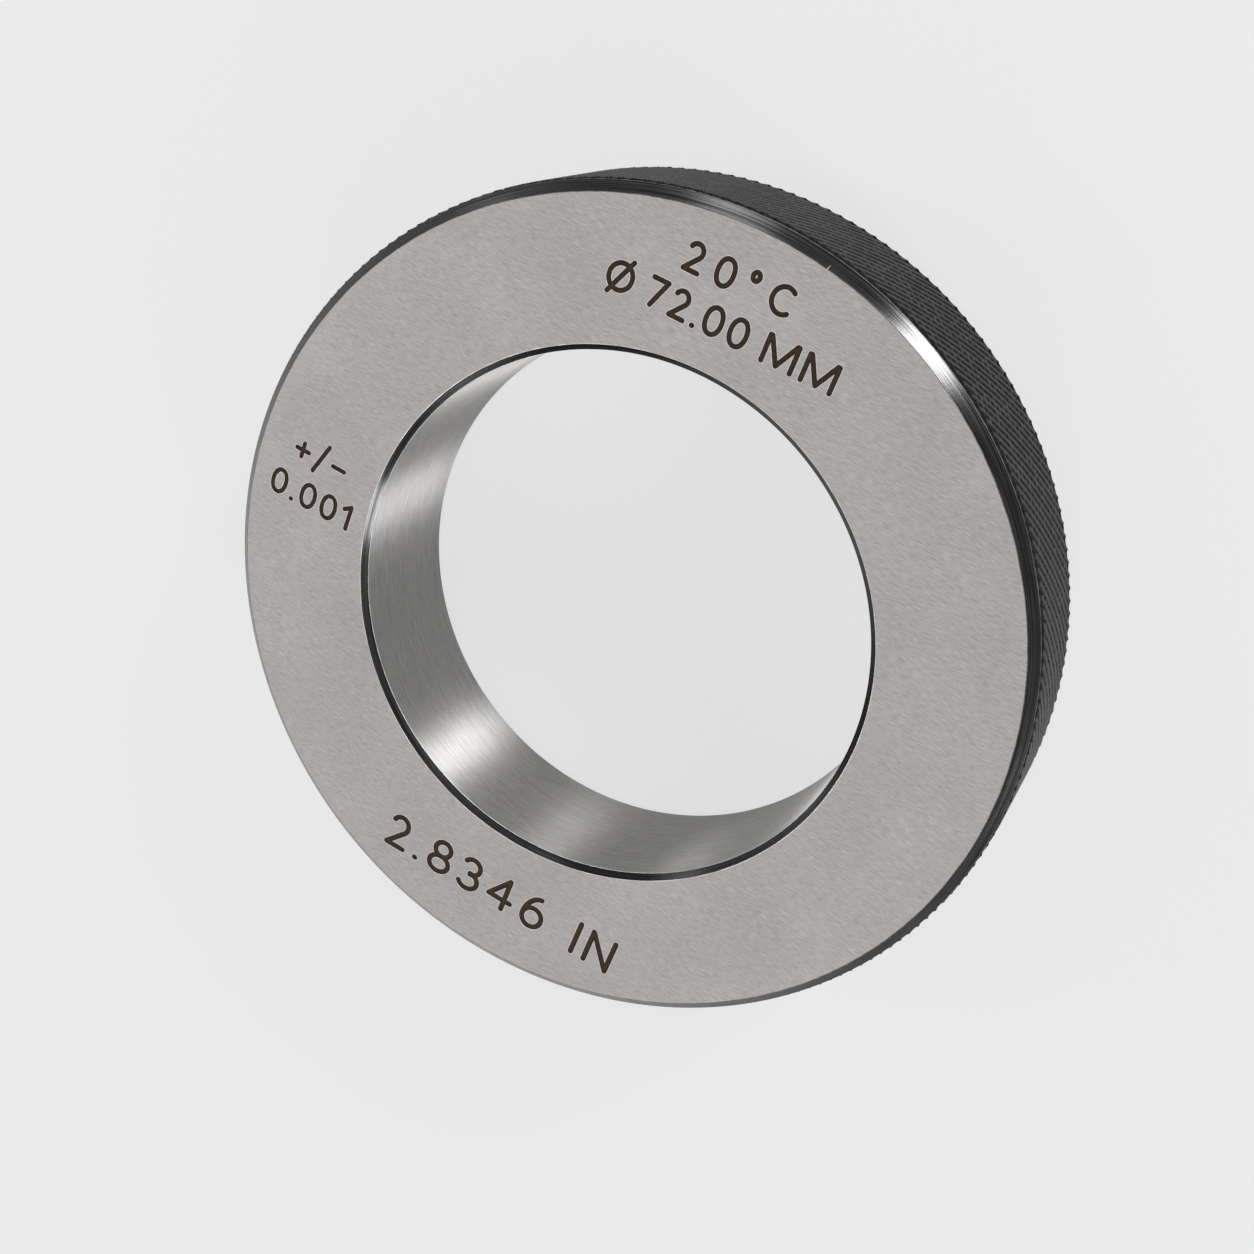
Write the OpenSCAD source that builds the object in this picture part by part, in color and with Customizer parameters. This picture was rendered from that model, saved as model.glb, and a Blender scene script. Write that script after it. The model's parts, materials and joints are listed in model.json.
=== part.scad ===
// Setting ring gauge: one hardened steel ring with a ground bore, two ground faces and a
// diamond-knurled rim. It lies on its plain back face. Z runs up the bore and out of the
// marked face, and +Y points to the top of the markings. Millimetres.

/* [Bore] */
// Diameter of the ground bore
bore_d = 72; // [20:0.01:150]
// Chamfer at each mouth of the bore, at 45 degrees
bore_chamfer = 0.85; // [0.2:0.05:2]

/* [Body] */
// Wall from the bore to the smooth land beside the knurl, measured along a radius
wall = 20.8; // [8:0.1:40]
// Width of the ring between its two ground faces
ring_width = 22.5; // [14:0.1:50]
// Chamfer round the rim of each face, at 45 degrees
rim_chamfer = 1.4; // [0.4:0.05:2.5]
// Smooth land between the rim chamfer and the knurl, measured along the axis
land_width = 0.3; // [0.1:0.05:1]

/* [Knurl] */
// Distance between two neighbouring ridges, measured square to them
knurl_pitch = 1.6; // [1.4:0.05:3]
// Angle between the ridges and the axis of the ring
knurl_angle = 42; // [30:1:50]
// Height that the knurl's crests stand above the smooth land
crest_rise = 0.25; // [0.1:0.05:0.8]
// Depth of the knurl's grooves below the smooth land
groove_sink = 0.25; // [0.1:0.05:0.4]

/* [Hidden] */
ground_steel = [0.67, 0.66, 0.65];
bore_r = bore_d / 2;
land_r = bore_r + wall;
crest_r = land_r + crest_rise;
groove_r = land_r - groove_sink;
$fn = 180;

// The knurled band between the two lands
band_start = rim_chamfer + land_width;
band_end = ring_width - band_start;
// Length of the teeth that runs on under each land, so that the two meet inside the steel
tooth_tuck = 0.15;
// Depth of the seat under the teeth, measured from the bottom of their grooves
seat_depth = 1;

// Whole teeth fit round the rim and rows of half a tooth fit along the band
teeth_round = round(2 * PI * crest_r * cos(knurl_angle) / knurl_pitch);
rows = 2 * round((band_end - band_start) * sin(knurl_angle) / knurl_pitch);
columns = 2 * teeth_round;
row_height = (band_end - band_start + 2 * tooth_tuck) / rows;

// Radius of a point of the knurl: crests and groove crossings take turns like the squares
// of a chessboard, and the end rows drop to the bottom of the grooves
function knurl_radius(row, column) =
    row == 0 || row == rows || (row + column) % 2 == 1 ? groove_r : crest_r;

function knurl_point(row, column) =
    let (r = knurl_radius(row, column), a = 360 * column / columns)
    [r * cos(a), r * sin(a), band_start - tooth_tuck + row * row_height];

// Each square between four points is split along the groove that crosses it
function knurl_square(row, column) =
    let (
        next = (column + 1) % columns,
        a = row * columns + column,
        b = row * columns + next,
        c = a + columns,
        d = b + columns
    )
    (row + column) % 2 == 0 ? [[a, c, b], [b, c, d]] : [[a, c, d], [a, d, b]];

module knurl() {
    points = [for (row = [0 : rows], column = [0 : columns - 1]) knurl_point(row, column)];
    squares = [
        for (row = [0 : rows - 1], column = [0 : columns - 1])
            each knurl_square(row, column)
    ];
    bottom = [for (column = [0 : columns - 1]) column];
    top = [for (column = [columns - 1 : -1 : 0]) rows * columns + column];
    polyhedron(points = points, faces = concat(squares, [bottom, top]));
}

// Half of the body's section, from mid width to one face: [radius, distance from the face]
half_outline = [
    [bore_r, bore_chamfer],
    [bore_r + bore_chamfer, 0],
    [land_r - rim_chamfer, 0],
    [land_r, rim_chamfer],
    [land_r, band_start],
    [groove_r - seat_depth, band_start],
];

module turned_body() {
    rotate_extrude()
        polygon(concat(
            [for (p = half_outline) [p[0], ring_width - p[1]]],
            [for (i = [len(half_outline) - 1 : -1 : 0]) half_outline[i]]
        ));
}

module gauge_ring() {
    color(ground_steel)
        union() {
            turned_body();
            difference() {
                knurl();
                cylinder(r = groove_r - 2 * seat_depth, h = 3 * ring_width, center = true);
            }
        }
}

gauge_ring();
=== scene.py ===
"""Looks of the setting ring gauge: ground steel, black oxide, a diamond knurl and engraved sizes.

The ring lies on its plain back face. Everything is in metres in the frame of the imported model:
Z runs up the bore and out of the marked face, and +Y points to the top of the markings.
"""
import json
import math

import bmesh
import bpy
import numpy as np
from mathutils import Matrix, Vector


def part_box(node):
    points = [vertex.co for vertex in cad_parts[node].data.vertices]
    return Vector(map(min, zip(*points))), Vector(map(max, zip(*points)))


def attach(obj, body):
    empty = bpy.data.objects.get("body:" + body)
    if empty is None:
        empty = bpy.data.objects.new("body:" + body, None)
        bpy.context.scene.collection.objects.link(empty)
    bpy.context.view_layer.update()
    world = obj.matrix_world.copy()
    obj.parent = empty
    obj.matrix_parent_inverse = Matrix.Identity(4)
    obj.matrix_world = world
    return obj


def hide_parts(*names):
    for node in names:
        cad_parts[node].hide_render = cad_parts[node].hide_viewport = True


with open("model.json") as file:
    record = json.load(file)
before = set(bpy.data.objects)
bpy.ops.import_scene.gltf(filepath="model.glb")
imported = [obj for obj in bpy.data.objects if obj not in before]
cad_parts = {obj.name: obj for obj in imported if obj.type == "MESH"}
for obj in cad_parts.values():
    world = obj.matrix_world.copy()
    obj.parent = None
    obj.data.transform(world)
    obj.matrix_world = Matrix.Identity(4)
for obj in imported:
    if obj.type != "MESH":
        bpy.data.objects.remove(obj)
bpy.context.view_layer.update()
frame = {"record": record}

MM = 0.001
NODE = "gauge_ring"

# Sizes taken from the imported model
ring_low, ring_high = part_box(NODE)
bore_mount = next(m for m in frame["record"]["mounts"] if m["name"] == "bore")
WIDTH = ring_high.z
CREST_R = ring_high.x
BORE_R = bore_mount["dims"]["r_mm"] * MM
BORE_CHAMFER = (WIDTH - bore_mount["dims"]["length_mm"] * MM) / 2

# Sizes of the rim, as in the part's source
CREST_RISE = 0.25 * MM
GROOVE_SINK = 0.25 * MM
RIM_CHAMFER = 1.4 * MM
LAND_WIDTH = 0.3 * MM
LAND_R = CREST_R - CREST_RISE
GROOVE_R = LAND_R - GROOVE_SINK
BAND_START = RIM_CHAMFER + LAND_WIDTH
BAND_LENGTH = WIDTH - 2 * BAND_START
SEAT_R = GROOVE_R - 0.6 * MM

# Turned mesh: steps round the ring, edge breaks and the fine grooves that a tool leaves
TURN_STEPS = 480
EDGE_BREAK = 0.055 * MM
EDGE_STEPS = 4
TOOL_LINES = 14
TOOL_LINE_DEPTH = 0.005 * MM
TOOL_LINE_SHARES = (0.3, 1.0, 0.1, 0.75, 0.2, 0.9, 0.0, 0.55)

# Knurl: measured across the ridges, and their angle from the ring's axis
KNURL_PITCH = 1.28 * MM
KNURL_ANGLE = math.radians(42)
KNURL_SUBSTEPS = 3
KNURL_END_BEVEL = 0.12 * MM
KNURL_CREST_FLAT = 0.85
KNURL_LINK_HEIGHT = (0.4, 0.85)
KNURL_TUCK = 0.1 * MM
KNURL_SCATTER_SEED = 72

# Markings: depth of a stroke, the burnished slope beside it, and the steps of its round bottom
STROKE_DEPTH = 0.17 * MM
SLOPE_WIDTH = 0.09 * MM
SLOPE_FALL = math.tan(math.radians(2.5))
BOWL_STEPS = 6
CUTTER_TOP = WIDTH + 0.4 * MM

# A nick across the chamfer: where it is, how far it runs from the face's edge, and its half width
NICK_ANGLE = math.radians(80.8)
NICK_RUN = (-0.12 * MM, 0.75 * MM)
NICK_HALF = 0.075 * MM
NICK_TAPER = (1.0, 0.35)


# Mesh helpers

def place_mesh(name, mesh):
    """An object for a mesh, at the origin, linked to the scene."""
    piece = bpy.data.objects.new(name, mesh)
    bpy.context.scene.collection.objects.link(piece)
    return piece


def mesh_from(name, vertices, faces):
    mesh = bpy.data.meshes.new(name)
    mesh.from_pydata([tuple(v) for v in vertices], [], [tuple(f) for f in faces])
    mesh.update()
    return mesh


def ring_faces(rows, columns):
    """Quads between rows of points round the ring.

    The rows run anticlockwise round the ring's section, and the last one joins the first.
    """
    faces = []
    for row in range(rows):
        here = row * columns
        beyond = (row + 1) % rows * columns
        for column in range(columns):
            following = (column + 1) % columns
            faces.append((here + column, here + following, beyond + following, beyond + column))
    return faces


def rounded_corner(before, corner, after):
    """Points of the small edge break between two straight sides of the section."""
    start = corner + (before - corner).normalized() * EDGE_BREAK
    end = corner + (after - corner).normalized() * EDGE_BREAK
    points = []
    for i in range(EDGE_STEPS + 1):
        t = i / EDGE_STEPS
        points.append(start * (1 - t) ** 2 + corner * 2 * t * (1 - t) + end * t ** 2)
    return points


# The turned body

FACE, BORE, CHAMFER, WORN, EDGE, SLOPE, MARK = range(7)


def tool_lines(start, end):
    """Points along a turned chamfer, between its ends, with the fine grooves that the tool leaves."""
    along = end - start
    inward = Vector((-along.y, along.x)).normalized() * TOOL_LINE_DEPTH
    points = []
    for i in range(1, TOOL_LINES):
        share = TOOL_LINE_SHARES[i % len(TOOL_LINE_SHARES)]
        points.append(start + along * i / TOOL_LINES + inward * share)
    return points


def half_section():
    """The upper half of the section, from the knurl's seat over the marked face to mid bore.

    Returns points as [radius, height], and the finish of the stretch that ends at each.
    """
    corners = [Vector(c) for c in (
        (SEAT_R, WIDTH - BAND_START),
        (LAND_R, WIDTH - BAND_START),
        (LAND_R, WIDTH - RIM_CHAMFER),
        (LAND_R - RIM_CHAMFER, WIDTH),
        (BORE_R + BORE_CHAMFER, WIDTH),
        (BORE_R, WIDTH - BORE_CHAMFER),
        (BORE_R, WIDTH / 2),
    )]
    finishes = [CHAMFER, CHAMFER, CHAMFER, FACE, CHAMFER]
    corner_finishes = [CHAMFER, WORN, WORN, EDGE, EDGE]
    breaks = [rounded_corner(*corners[i - 1:i + 2]) for i in range(1, len(corners) - 1)]
    points = [corners[0]]
    kinds = [CHAMFER]
    for finish, corner_finish, side in zip(finishes, corner_finishes, breaks):
        if finish == CHAMFER and len(points) > 1:
            turned = tool_lines(points[-1], side[0])
            points += turned
            kinds += [CHAMFER] * len(turned)
        points += side
        kinds += [finish] + [corner_finish] * EDGE_STEPS
    return points + [corners[-1]], kinds + [BORE]


def turned_body():
    """The whole body of revolution, as one closed mesh, with the finish of each face set."""
    upper, upper_kinds = half_section()
    lower = [Vector((p.x, WIDTH - p.y)) for p in reversed(upper[:-1])]
    outline = upper + lower
    kinds = upper_kinds[1:] + upper_kinds[:0:-1] + [CHAMFER]
    vertices = []
    for p in outline:
        for step in range(TURN_STEPS):
            angle = 2 * math.pi * step / TURN_STEPS
            vertices.append((p.x * math.cos(angle), p.x * math.sin(angle), p.y))
    faces = ring_faces(len(outline), TURN_STEPS)
    body = place_mesh("ring_body", mesh_from("ring_body", vertices, faces))
    for finish in (ground_face(), ground_bore(), black_oxide_chamfer(), worn_oxide_edge(),
                   burnished_edge(), burnished_slope(), etched_marking()):
        body.data.materials.append(finish)
    for index, face in enumerate(body.data.polygons):
        face.material_index = kinds[index // TURN_STEPS]
    return body


# The knurl

def tooth_heights(teeth_round, half_rows, columns, rows):
    """Height of the knurl at each point of its grid: 0 in the grooves, 1 on the crests.

    One helix stands up as unbroken ridges, and the lower ridges of the other link them across
    the grooves. No two links are pressed quite alike: each has its own height.
    """
    across = np.arange(columns)[None, :] / KNURL_SUBSTEPS
    up = np.arange(rows)[:, None] / KNURL_SUBSTEPS
    first, second = (across + up) / 2, (across - up) / 2
    first_ridge, second_ridge = np.round(first), np.round(second)
    ridge = np.minimum(1 - 2 * abs(second - second_ridge), KNURL_CREST_FLAT) / KNURL_CREST_FLAT
    links_round, links_up = 2 * teeth_round, 2 * half_rows + 3
    draw = np.random.default_rng(KNURL_SCATTER_SEED)
    scatter = draw.uniform(*KNURL_LINK_HEIGHT, (links_round, links_up))
    groove = np.floor(second)
    own = scatter[(first_ridge + groove).astype(int) % links_round,
                  (first_ridge - groove).astype(int) % links_up]
    link = (1 - 2 * abs(first - first_ridge)) * own
    return np.maximum(ridge, link)


def knurl_triangles(rows, columns, radius):
    """Each square of the knurl is split along the diagonal that keeps closer to one height."""
    triangles = []
    for a, b, c, d in ring_faces(rows, columns):
        if abs(radius[a] - radius[c]) < abs(radius[b] - radius[d]):
            triangles += [(a, b, c), (a, c, d)]
        else:
            triangles += [(a, b, d), (b, c, d)]
    return triangles


def knurl_band():
    """A sleeve of diamond teeth, closed on the inside, that sits on the turned body."""
    teeth_round = round(2 * math.pi * CREST_R * math.cos(KNURL_ANGLE) / KNURL_PITCH)
    half_rows = 2 * round(BAND_LENGTH * math.sin(KNURL_ANGLE) / KNURL_PITCH)
    columns = 2 * teeth_round * KNURL_SUBSTEPS
    rows = half_rows * KNURL_SUBSTEPS + 1
    tooth = tooth_heights(teeth_round, half_rows, columns, rows)
    heights = BAND_START - KNURL_TUCK + (BAND_LENGTH + 2 * KNURL_TUCK) * np.arange(rows) / (rows - 1)
    from_end = np.minimum(heights - BAND_START, WIDTH - BAND_START - heights)
    bevel = np.clip(from_end / KNURL_END_BEVEL, 0, 1)[:, None]
    depth = CREST_R - GROOVE_R
    radius = np.minimum(GROOVE_R + depth * np.minimum(tooth, bevel), CREST_R)
    angle = 2 * np.pi * np.arange(columns)[None, :] / columns
    grid = np.stack([radius * np.cos(angle), radius * np.sin(angle),
                     np.broadcast_to(heights[:, None], radius.shape)], -1).reshape(-1, 3)
    inner = [(SEAT_R * math.cos(a), SEAT_R * math.sin(a), height)
             for height in (heights[-1], heights[0]) for a in angle[0]]
    every_radius = np.concatenate([radius.ravel(), np.full(2 * columns, SEAT_R)])
    triangles = knurl_triangles(rows + 2, columns, every_radius)
    return place_mesh("knurl", mesh_from("knurl", np.vstack([grid, inner]), triangles))


# Markings. A sign is drawn on a grid whose cap height is 1, as the middle lines of its strokes.

def arc(cx, cy, rx, ry, start, end, steps=18):
    """Points of an ellipse from one angle to another, in degrees."""
    return [(cx + rx * math.cos(math.radians(start + (end - start) * i / steps)),
             cy + ry * math.sin(math.radians(start + (end - start) * i / steps)))
            for i in range(steps + 1)]


def oval(cx, cy, rx, ry, squareness=2.0, steps=40):
    """A closed oval, drawn fuller at its shoulders as squareness grows above 2."""
    points = []
    for i in range(steps):
        angle = 2 * math.pi * i / steps
        c, s = math.cos(angle), math.sin(angle)
        points.append((cx + rx * math.copysign(abs(c) ** (2 / squareness), c),
                       cy + ry * math.copysign(abs(s) ** (2 / squareness), s)))
    return points


CLOSED, OPEN = True, False
ZERO_STROKES = [(CLOSED, oval(0.315, 0.5, 0.315, 0.5, 2.15))]
ONE_STROKES = [(OPEN, [(0, 0.8), (0.3, 1)]), (OPEN, [(0.3, 1), (0.3, 0)])]
TWO_STROKES = [
    (OPEN, arc(0.27, 0.72, 0.26, 0.28, 155, -35, 16) + [(0, 0)]),
    (OPEN, [(0, 0), (0.57, 0)]),
]
THREE_STROKES = [
    (OPEN, arc(0.27, 0.745, 0.27, 0.255, 150, -90, 18)),
    (OPEN, arc(0.27, 0.265, 0.31, 0.265, 90, -150, 20)),
]
FOUR_STROKES = [
    (OPEN, [(0.52, 1), (0, 0.3)]),
    (OPEN, [(0, 0.3), (0.72, 0.3)]),
    (OPEN, [(0.52, 1), (0.52, 0)]),
]
SIX_STROKES = [
    (CLOSED, oval(0.32, 0.31, 0.31, 0.31)),
    (OPEN, arc(0.47, 0.31, 0.46, 0.69, 178, 95, 16)),
]
SEVEN_STROKES = [(OPEN, [(0, 1), (0.6, 1)]), (OPEN, [(0.6, 1), (0.18, 0)])]
EIGHT_STROKES = [(CLOSED, oval(0.32, 0.755, 0.255, 0.245)), (CLOSED, oval(0.32, 0.26, 0.315, 0.26))]
M_STROKES = [
    (OPEN, [(0, 0), (0, 1)]),
    (OPEN, [(0.06, 1), (0.58, 0.03)]),
    (OPEN, [(0.58, 0.03), (1.1, 1)]),
    (OPEN, [(1.16, 1), (1.16, 0)]),
]
N_STROKES = [(OPEN, [(0, 0), (0, 1)]), (OPEN, [(0, 1), (0.72, 0)]), (OPEN, [(0.72, 0), (0.72, 1)])]
DIAMETER_STROKES = [(CLOSED, oval(0.49, 0.5, 0.47, 0.5)), (OPEN, [(0.17, -0.17), (0.81, 1.17)])]
PLUS_STROKES = [(OPEN, [(0, 0.46), (0.6, 0.46)]), (OPEN, [(0.3, 0.16), (0.3, 0.76)])]

# Width on the grid, then the strokes
SIGNS = {
    "0": (0.63, ZERO_STROKES),
    "1": (0.36, ONE_STROKES),
    "2": (0.57, TWO_STROKES),
    "3": (0.58, THREE_STROKES),
    "4": (0.72, FOUR_STROKES),
    "6": (0.64, SIX_STROKES),
    "7": (0.60, SEVEN_STROKES),
    "8": (0.64, EIGHT_STROKES),
    ".": (0.02, [(OPEN, [(0, 0), (0.02, 0)])]),
    "C": (0.72, [(OPEN, arc(0.45, 0.5, 0.45, 0.5, 52, 308, 26))]),
    "I": (0.0, [(OPEN, [(0, 0), (0, 1)])]),
    "M": (1.16, M_STROKES),
    "N": (0.72, N_STROKES),
    "diameter": (0.98, DIAMETER_STROKES),
    "degree": (0.26, [(CLOSED, oval(0.13, 0.84, 0.13, 0.16, 2.0, 24))]),
    "plus": (0.6, PLUS_STROKES),
    "slash": (0.46, [(OPEN, [(0, -0.16), (0.46, 1.14)])]),
    "minus": (0.56, [(OPEN, [(0, 0.46), (0.56, 0.46)])]),
    " ": (0.28, []),
}


class Marking:
    """One line of engraved signs: what it says, where its middle is, and its size."""

    def __init__(self, signs, middle, height, stroke, gap):
        self.signs = signs
        self.middle = Vector(middle) * MM
        self.height = height * MM
        self.stroke = stroke * MM
        self.gap = gap

    def strokes(self):
        """(layer, closed, points): the strokes of one sign cross, so each has a layer of its own."""
        length = sum(SIGNS[s][0] for s in self.signs) + self.gap * (len(self.signs) - 1)
        scale = self.height - self.stroke
        cursor = -length / 2
        for sign in self.signs:
            width, strokes = SIGNS[sign]
            for layer, (closed, points) in enumerate(strokes):
                placed = [self.middle + Vector((cursor + x, y - 0.5)) * scale for x, y in points]
                yield layer, closed, placed
            cursor += width + self.gap


# Middle, height and stroke in millimetres, and the gap between signs as a share of the height
MARKINGS = [
    Marking(["2", "0", "degree", "C"], (-0.6, 49.1), height=4.05, stroke=0.66, gap=0.66),
    Marking(["diameter"], (-14.66, 42.94), height=4.05, stroke=0.66, gap=0.0),
    Marking("72.00", (-3.78, 43.12), height=4.05, stroke=0.66, gap=0.385),
    Marking("MM", (10.41, 43.13), height=4.05, stroke=0.66, gap=0.44),
    Marking(["plus", "slash", "minus"], (-46.0, 1.4), height=3.95, stroke=0.65, gap=0.38),
    Marking("0.001", (-45.6, -4.6), height=3.95, stroke=0.65, gap=0.41),
    Marking("2.8346 IN", (0.8, -45.35), height=5.7, stroke=0.8, gap=0.43),
]


def stroke_sides(points, closed):
    """Unit normals to the left of a stroke's middle line, at each of its points."""
    count = len(points)
    normals = []
    for i in range(count):
        before = points[(i - 1) % count] if closed or i > 0 else points[i]
        after = points[(i + 1) % count] if closed or i < count - 1 else points[i]
        along = (after - before).normalized()
        normals.append(Vector((-along.y, along.x)))
    return normals


def stroke_outline(points, closed, end_steps=10):
    """Loops of (middle, direction) that run round a stroke.

    The stroke's edge lies at half its width along each direction.
    """
    normals = stroke_sides(points, closed)
    left = list(zip(points, normals))
    right = [(p, -n) for p, n in left]
    if closed:
        return [left, right]
    tail, head = [], []
    for i in range(1, end_steps):
        turn = Matrix.Rotation(-math.pi * i / end_steps, 2)
        head.append((points[-1], turn @ normals[-1]))
        tail.append((points[0], turn @ -normals[0]))
    return [left + head + right[::-1] + tail]


def add_stroke(bm, points, closed, section):
    """Adds one stroke of a cutter to bm. section lists (half width, height) from the top down."""
    for loop in stroke_outline(points, closed):
        rings = []
        for half, height in section:
            rings.append([bm.verts.new((*(p + n * half), height)) for p, n in loop])
        for upper, lower in zip(rings, rings[1:]):
            for i in range(len(loop)):
                j = (i + 1) % len(loop)
                bm.faces.new((upper[i], upper[j], lower[j], lower[i]))


def cutter(layer, section_of, finish):
    """All strokes of one layer as one closed mesh, with the section that section_of(width) gives."""
    bm = bmesh.new()
    for marking in MARKINGS:
        for stroke_layer, closed, points in marking.strokes():
            if stroke_layer == layer:
                add_stroke(bm, points, closed, section_of(marking.stroke))
    bmesh.ops.remove_doubles(bm, verts=bm.verts, dist=1e-7)
    bmesh.ops.dissolve_degenerate(bm, edges=bm.edges, dist=1e-8)
    bmesh.ops.recalc_face_normals(bm, faces=bm.faces)
    for face in bm.faces:
        face.material_index = finish
    mesh = bpy.data.meshes.new("engraving_tool")
    bm.to_mesh(mesh)
    bm.free()
    return place_mesh("engraving_tool", mesh)


def nick_cutter():
    """A thin bar with a square section, laid on the chamfer, that cuts the nick."""
    radial = Vector((math.cos(NICK_ANGLE), math.sin(NICK_ANGLE), 0))
    across = Vector((-math.sin(NICK_ANGLE), math.cos(NICK_ANGLE), 0))
    upward = Vector((0, 0, 1))
    down_slope = (radial - upward).normalized()
    outward = (radial + upward).normalized()
    edge = radial * (LAND_R - RIM_CHAMFER) + upward * WIDTH
    vertices = []
    for run, taper in zip(NICK_RUN, NICK_TAPER):
        for way in (outward, across, -outward, -across):
            vertices.append(edge + down_slope * run + way * NICK_HALF * taper)
    sides = [(i, i + 4, (i + 1) % 4 + 4, (i + 1) % 4) for i in range(4)]
    bar = place_mesh("nick_tool", mesh_from("nick_tool", vertices, [(0, 1, 2, 3), (7, 6, 5, 4)] + sides))
    for face in bar.data.polygons:
        face.material_index = EDGE
    return bar


def groove_section(stroke):
    """Section of an engraved stroke: straight down to the face, then a round bottom."""
    half = stroke / 2
    section = [(0.0, CUTTER_TOP), (half, CUTTER_TOP), (half, WIDTH)]
    for i in range(1, BOWL_STEPS):
        angle = math.pi / 2 * i / BOWL_STEPS
        section.append((half * math.cos(angle), WIDTH - STROKE_DEPTH * math.sin(angle)))
    return section + [(0.0, WIDTH - STROKE_DEPTH)]


def slope_section(stroke):
    """Section of the shallow burnished slope beside a stroke."""
    half = stroke / 2 + SLOPE_WIDTH
    return [(0.0, CUTTER_TOP), (half, CUTTER_TOP), (half, WIDTH), (0.0, WIDTH - SLOPE_FALL * half)]


def engrave(body):
    """Cuts the markings into the marked face, and the nick into its chamfer."""
    layers = 1 + max(layer for marking in MARKINGS for layer, _, _ in marking.strokes())
    cutters = [cutter(layer, section_of, finish)
               for section_of, finish in ((slope_section, SLOPE), (groove_section, MARK))
               for layer in range(layers)]
    cutters.append(nick_cutter())
    for tool in cutters:
        cut = body.modifiers.new("engraving", "BOOLEAN")
        cut.operation = "DIFFERENCE"
        cut.solver = "MANIFOLD"
        cut.object = tool
    bpy.context.view_layer.update()
    done = body.evaluated_get(bpy.context.evaluated_depsgraph_get())
    body.data = bpy.data.meshes.new_from_object(done)
    body.modifiers.clear()
    while body.data.materials[-1] is None:
        body.data.materials.pop()
    for tool in cutters:
        bpy.data.objects.remove(tool)


# Finishes. Shader maths is written as Python expressions on sockets.

class Field:
    """A number or colour that varies over a surface: a socket that takes part in Python sums."""

    def __init__(self, shading, socket):
        self.shading = shading
        self.socket = socket

    def output(self, name):
        """Another output of the same node."""
        return Field(self.shading, self.socket.node.outputs[name])

    def math(self, operation, *others):
        inputs = dict(enumerate((self, *others)))
        return self.shading.node("ShaderNodeMath", {"operation": operation}, inputs)

    def __add__(self, other):
        return self.math("ADD", other)

    __radd__ = __add__

    def __mul__(self, other):
        return self.math("MULTIPLY", other)

    __rmul__ = __mul__

    def __sub__(self, other):
        return self.math("SUBTRACT", other)

    def __rsub__(self, other):
        return self * -1 + other

    def __pow__(self, other):
        return self.math("POWER", other)

    def above(self, low, high):
        """A smooth step from 0 at low to 1 at high."""
        return self.shading.node("ShaderNodeMapRange", {"interpolation_type": "SMOOTHSTEP"},
                                 {"Value": self, "From Min": low, "From Max": high})


class Shading:
    """The nodes of one material or world."""

    def __init__(self, tree):
        self.tree = tree

    def plug(self, entry, value):
        """Links a field to an input, or sets the input's value."""
        if isinstance(value, Field):
            self.tree.links.new(value.socket, entry)
        else:
            entry.default_value = value

    def node(self, kind, settings=None, inputs=None, output=0):
        """Adds a node: its settings first, then the values or links of its sockets."""
        made = self.tree.nodes.new(kind)
        for name, value in (settings or {}).items():
            setattr(made, name, value)
        for name, value in (inputs or {}).items():
            self.plug(made.inputs[name], value)
        return Field(self, made.outputs[output])

    def seen_directly(self):
        """1 for rays that show the backdrop, also in metal or through glass, and 0 for light itself."""
        camera = self.node("ShaderNodeLightPath", output="Is Camera Ray")
        glossy, through = camera.output("Is Glossy Ray"), camera.output("Is Transmission Ray")
        return camera.math("MAXIMUM", glossy).math("MAXIMUM", through)


# Height of the finest grain that a finish raises, and the turn of a highlight's stretch to the axis
GRAIN = 0.012 * MM
ALONG_AXIS = 0.25


class Finish(Shading):
    """A material of the ring, with the position on the part in millimetres at hand."""

    def __init__(self, name, **constants):
        self.material = bpy.data.materials.new(name)
        self.material.use_nodes = True
        super().__init__(self.material.node_tree)
        self.shader = self.tree.nodes["Principled BSDF"]
        for socket, value in constants.items():
            self.shader.inputs[socket.replace("_", " ")].default_value = value
        place = self.node("ShaderNodeTexCoord", output="Object")
        scaled = self.node("ShaderNodeVectorMath", {"operation": "SCALE"}, {0: place, "Scale": 1 / MM})
        self.x = self.node("ShaderNodeSeparateXYZ", inputs={0: scaled})
        self.y, self.z = self.x.output("Y"), self.x.output("Z")
        self.radius = (self.x * self.x + self.y * self.y) ** 0.5

    def noise(self, x, y, z, detail=2.0, rough=0.5):
        """Noise at a point, from 0 to 1."""
        point = self.node("ShaderNodeCombineXYZ", inputs={0: x, 1: y, 2: z})
        return self.node("ShaderNodeTexNoise", {"noise_dimensions": "3D"},
                         {"Vector": point, "Scale": 1.0, "Detail": detail, "Roughness": rough})

    def blend(self, share, first, second):
        """A colour between two colours."""
        first, second = ((*c, 1.0) if isinstance(c, tuple) else c for c in (first, second))
        return self.node("ShaderNodeMix", {"data_type": "RGBA"},
                         {"Factor": share, 6: first, 7: second}, output=2)

    def bump(self, height, strength):
        return self.node("ShaderNodeBump",
                         inputs={"Height": height, "Strength": strength, "Distance": GRAIN})

    def surface(self, colour, roughness, normal=None):
        """Joins what varies to the shader, and returns the material."""
        self.plug(self.shader.inputs["Base Color"], colour)
        self.plug(self.shader.inputs["Roughness"], roughness)
        if normal:
            self.plug(self.shader.inputs["Normal"], normal)
        return self.material


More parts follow.
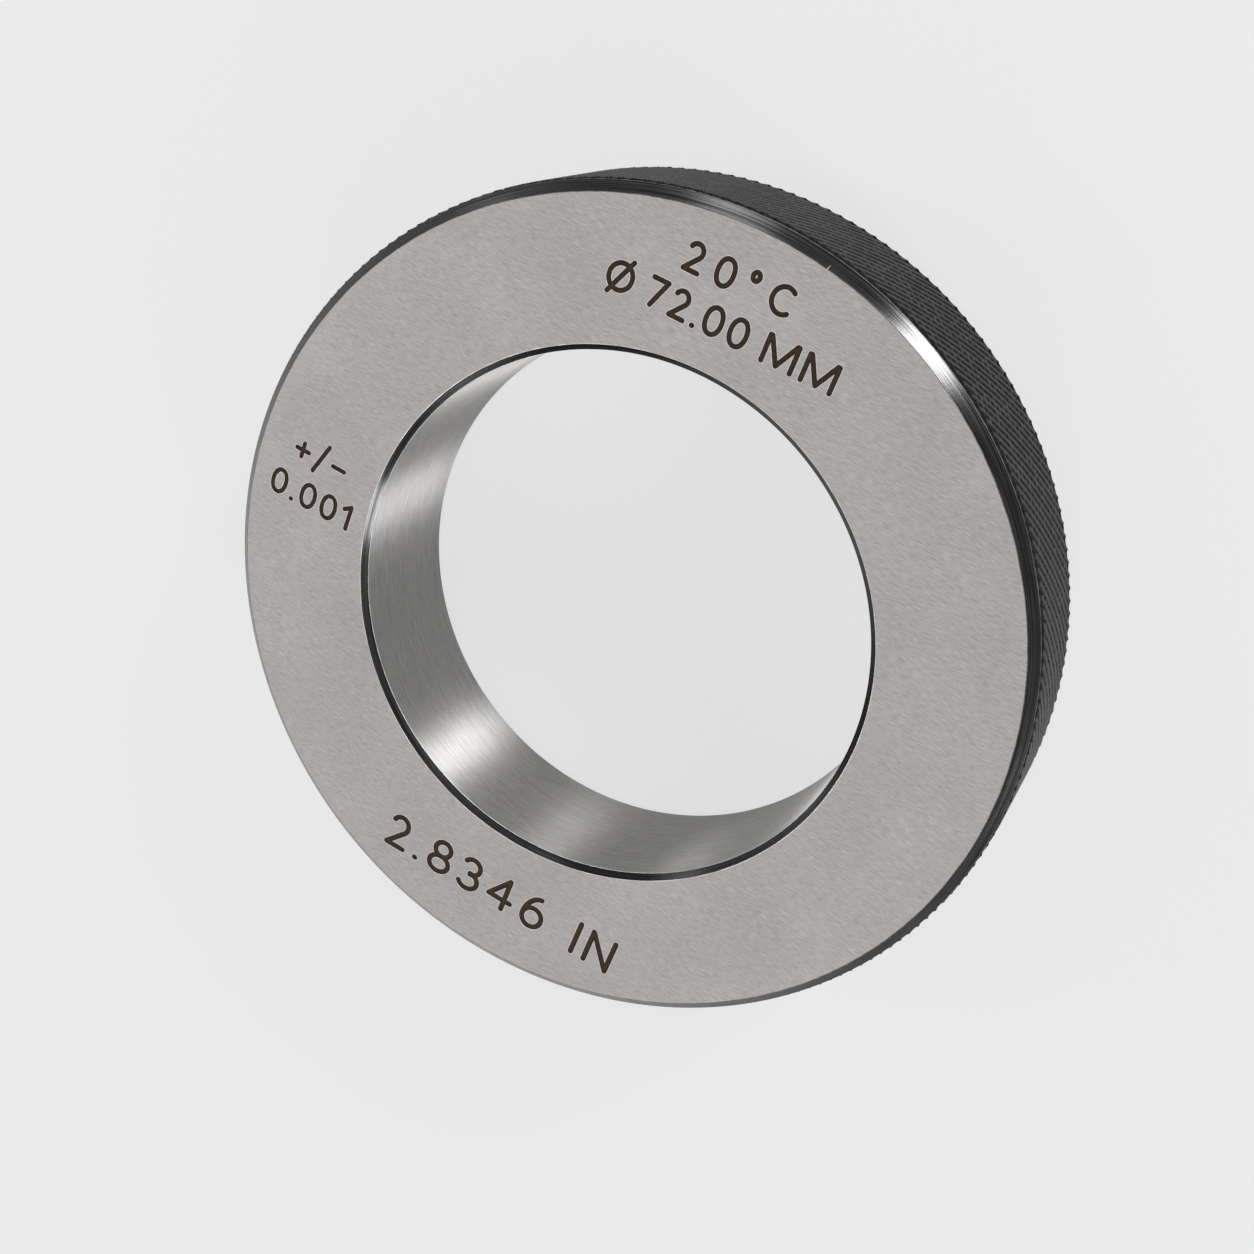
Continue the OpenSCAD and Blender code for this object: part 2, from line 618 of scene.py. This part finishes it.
def ground_face():
    """Flat grinding: fine short lines along X that wander a little, over a faint cloudiness."""
    f = Finish("ground_face_steel", Metallic=1.0)
    y = f.y + f.noise(f.x * 0.11, f.y * 0.11, 0.0, 1.0) * 1.5
    fine = f.noise(f.x * 0.9, y * 11.0, 3.0, 2.0, 0.6)
    broad = f.noise(f.x * 0.35, y * 3.2, 7.0, 2.0, 0.55)
    cloud = f.noise(f.x * 0.08, f.y * 0.08, 11.0)
    lines = fine * 0.66 + broad * 0.2 + cloud * 0.14
    colour = f.blend(lines.above(0.33, 0.67), (0.371, 0.352, 0.345), (0.544, 0.522, 0.515))
    speck = f.noise(f.x * 1.6, f.y * 4.6, 17.0, 1.0).above(0.72, 0.82)
    colour = f.blend(speck * 0.5, colour, (0.16, 0.145, 0.135))
    scratches = f.noise(f.x * 0.42, y * 13.0, 23.0, 1.0).above(0.6, 0.7)
    colour = f.blend(scratches * 0.45, colour, (0.27, 0.256, 0.25))
    return f.surface(colour, 0.24 + lines * 0.1, f.bump(fine, 0.12))


def ground_bore():
    """Bore grinding: long fine lines round the bore, which spread a highlight along the axis."""
    f = Finish("ground_bore_steel", Metallic=1.0, Anisotropic=1.0, Anisotropic_Rotation=ALONG_AXIS)
    fine = f.noise(f.x * 0.2, f.y * 0.2, f.z * 11.0, 3.0, 0.68)
    short = f.noise(f.x * 0.6, f.y * 0.6, f.z * 14.0 + 5.0, 2.0, 0.6)
    lines = fine * 0.6 + short * 0.4
    colour = f.blend(lines.above(0.28, 0.72), (0.205, 0.202, 0.199), (0.400, 0.394, 0.387))
    return f.surface(colour, 0.4 + lines * 0.12, f.bump(lines, 0.15))


def black_oxide_chamfer():
    """Blackened turning: rings of lighter and darker oxide."""
    f = Finish("black_oxide_chamfer", Metallic=1.0, Anisotropic=0.5, Anisotropic_Rotation=ALONG_AXIS)
    rings = f.noise(f.x * 0.04, f.y * 0.04, f.radius * 8.0, 3.0, 0.65)
    cloud = f.noise(f.x * 0.12, f.y * 0.12, f.z * 0.3)
    shade = rings * 0.8 + cloud * 0.2
    colour = f.blend(shade.above(0.36, 0.64), (0.013, 0.013, 0.0133), (0.053, 0.053, 0.0538))
    return f.surface(colour, 0.14 + rings * 0.12, f.bump(rings, 0.3))


def worn_oxide_edge():
    """Edges of the blackened rim, where handling has thinned the oxide."""
    f = Finish("worn_oxide_edge", Metallic=1.0)
    worn = f.noise(f.x * 0.5, f.y * 0.5, f.z * 0.5, 3.0)
    colour = f.blend(worn.above(0.35, 0.65), (0.07, 0.069, 0.068), (0.17, 0.167, 0.165))
    return f.surface(colour, 0.46 + worn * 0.12)


def burnished_edge():
    """Edges where handling and grinding have left the steel bright."""
    f = Finish("burnished_edge_steel", Metallic=1.0)
    worn = f.noise(f.x * 0.5, f.y * 0.5, f.z * 0.5, 3.0)
    colour = f.blend(worn.above(0.35, 0.65), (0.42, 0.409, 0.402), (0.62, 0.608, 0.600))
    return f.surface(colour, 0.48 + worn * 0.12)


def burnished_slope():
    """The narrow slope beside each engraved stroke, a little brighter than the face."""
    f = Finish("burnished_slope_steel", Metallic=1.0)
    worn = f.noise(f.x * 1.5, f.y * 1.5, f.z)
    colour = f.blend(worn.above(0.35, 0.65), (0.50, 0.482, 0.475), (0.62, 0.602, 0.594))
    return f.surface(colour, 0.38 + worn * 0.1)


def black_oxide_knurl():
    """Blackened knurl: darker in the grooves, worn lighter on the crests, and painted shade darkening
    crests and grooves near both ends of the band, where the land shades the groove ends.
    """
    f = Finish("black_oxide_knurl", Metallic=1.0)
    crest = f.radius.above(GROOVE_R / MM + 0.18, CREST_R / MM - 0.02)
    patches = f.noise(f.x * 0.5, f.y * 0.5, f.z * 0.5, 3.0)
    from_end = BAND_LENGTH / MM / 2 - (f.z - WIDTH / MM / 2).math("ABSOLUTE")
    # Crest wear times painted shade: near each end of the band the colour falls to the dark groove tone,
    # standing in for the shade that the land casts.
    wear_and_end_shade = crest * (0.55 + patches * 0.7) * from_end.above(0.35, 0.9)
    colour = f.blend(wear_and_end_shade.above(0.05, 1.05), (0.011, 0.011, 0.0112), (0.085, 0.0845, 0.0835))
    grain = f.noise(f.x * 9.0, f.y * 9.0, f.z * 9.0)
    return f.surface(colour, 0.42 + patches * 0.16, f.bump(grain, 0.25))


def etched_marking():
    """Engraved strokes, burnt dark brown, with a painted highlight that makes them a little lighter
    along the round bottom, which faces up.
    """
    f = Finish("etched_marking", Metallic=0.0, Specular_IOR_Level=0.12)
    # Painted highlight: the colour lightens with depth, standing in for the light that the stroke's
    # upturned bottom catches.
    depth = (WIDTH / MM - f.z).above(0.08, STROKE_DEPTH / MM)
    mottle = f.noise(f.x * 3.0, f.y * 3.0, f.z, 3.0)
    colour = f.blend(depth * (0.3 + mottle * 0.6), (0.012, 0.0078, 0.0053), (0.066, 0.041, 0.025))
    return f.surface(colour, 0.55 + mottle * 0.15)


CRISP_EDGE = math.radians(30)


def build_ring():
    body = turned_body()
    engrave(body)
    body.data.shade_smooth()
    body.data.set_sharp_from_angle(angle=CRISP_EDGE)
    knurl = knurl_band()
    knurl.data.materials.append(black_oxide_knurl())
    for piece in (body, knurl):
        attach(piece, "root")
    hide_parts(NODE)


# Floor, light and camera

# How bright the backdrop looks, and how much of the ring's shadow shows on it
BACKDROP = 0.84
SHADOW_KEPT = 0.17
FLOOR_REACH = 12.0
FLOOR_DROP = 0.01 * MM
WORLD_LIGHT = 0.36


def pale_floor():
    corners = [(-FLOOR_REACH, -FLOOR_REACH, 0), (FLOOR_REACH, -FLOOR_REACH, 0),
               (FLOOR_REACH, FLOOR_REACH, 0), (-FLOOR_REACH, FLOOR_REACH, 0)]
    floor = place_mesh("floor", mesh_from("floor", corners, [(0, 1, 2, 3)]))
    floor.location.z = -FLOOR_DROP
    material = bpy.data.materials.new("pale_floor")
    material.use_nodes = True
    shading = Shading(material.node_tree)
    shading.tree.nodes.remove(shading.tree.nodes["Principled BSDF"])
    shade = (BACKDROP, BACKDROP, BACKDROP, 1)
    paper = shading.node("ShaderNodeBsdfDiffuse", inputs={"Color": shade})
    plain = shading.node("ShaderNodeEmission", inputs={"Color": shade})
    share = shading.seen_directly() * (1 - SHADOW_KEPT)
    mix = shading.node("ShaderNodeMixShader", inputs={0: share, 1: paper, 2: plain})
    shading.plug(shading.tree.nodes["Material Output"].inputs["Surface"], mix)
    floor.data.materials.append(material)


def studio_world():
    world = bpy.data.worlds.new("studio")
    bpy.context.scene.world = world
    world.use_nodes = True
    shading = Shading(world.node_tree)
    background = shading.tree.nodes["Background"]
    background.inputs["Color"].default_value = (1, 1, 1, 1)
    seen = shading.seen_directly()
    shading.plug(background.inputs["Strength"], seen * BACKDROP + (1 - seen) * WORLD_LIGHT)


def soft_lamp(name, azimuth, elevation, spread, strength):
    """A far, wide lamp. azimuth and elevation say where it stands, in degrees."""
    lamp = bpy.data.lights.new(name, "SUN")
    lamp.energy = strength
    lamp.angle = math.radians(spread)
    piece = bpy.data.objects.new(name, lamp)
    a, e = math.radians(azimuth), math.radians(elevation)
    towards = Vector((math.cos(a) * math.cos(e), math.sin(a) * math.cos(e), math.sin(e)))
    piece.rotation_euler = towards.to_track_quat("Z", "Y").to_euler()
    bpy.context.scene.collection.objects.link(piece)


def studio_lamps():
    """Low lamps all round. Each lights one stretch of the bore or of the rim's chamfer."""
    soft_lamp("low", azimuth=67, elevation=16, spread=14, strength=2.25)
    soft_lamp("side", azimuth=112, elevation=16, spread=16, strength=0.62)
    soft_lamp("fill", azimuth=156, elevation=10, spread=14, strength=0.28)
    soft_lamp("bounce", azimuth=293, elevation=20, spread=18, strength=1.2)
    soft_lamp("window", azimuth=338, elevation=20, spread=16, strength=1.35)
    soft_lamp("behind", azimuth=200, elevation=20, spread=16, strength=1.1)


# The camera stands where the photo was taken from: found from the ring's own circles
CAMERA_PLACE = Vector((54.68, 101.22, 228.22)) * MM
CAMERA_AIM = Vector((0.46, -5.41, 22.5)) * MM
PICTURE_UP = Vector((-0.4734, 0.8268, -0.3038))
FIELD_OF_VIEW = math.radians(38.68)
PICTURE_SHIFT = (0.0282, 0.0261)
NEAREST_SEEN = 10 * MM


def photo_camera():
    data = bpy.data.cameras.new("camera")
    data.sensor_fit = "HORIZONTAL"
    data.angle = FIELD_OF_VIEW
    data.shift_x, data.shift_y = PICTURE_SHIFT
    data.clip_start = NEAREST_SEEN
    camera = bpy.data.objects.new("camera", data)
    back = (CAMERA_PLACE - CAMERA_AIM).normalized()
    right = PICTURE_UP.cross(back).normalized()
    up = back.cross(right)
    turn = Matrix((right, up, back)).transposed().to_4x4()
    camera.matrix_world = Matrix.Translation(CAMERA_PLACE) @ turn
    bpy.context.scene.collection.objects.link(camera)
    bpy.context.scene.camera = camera


photo_camera()
build_ring()
pale_floor()
studio_world()
studio_lamps()
bpy.context.scene.view_settings.view_transform = "Standard"
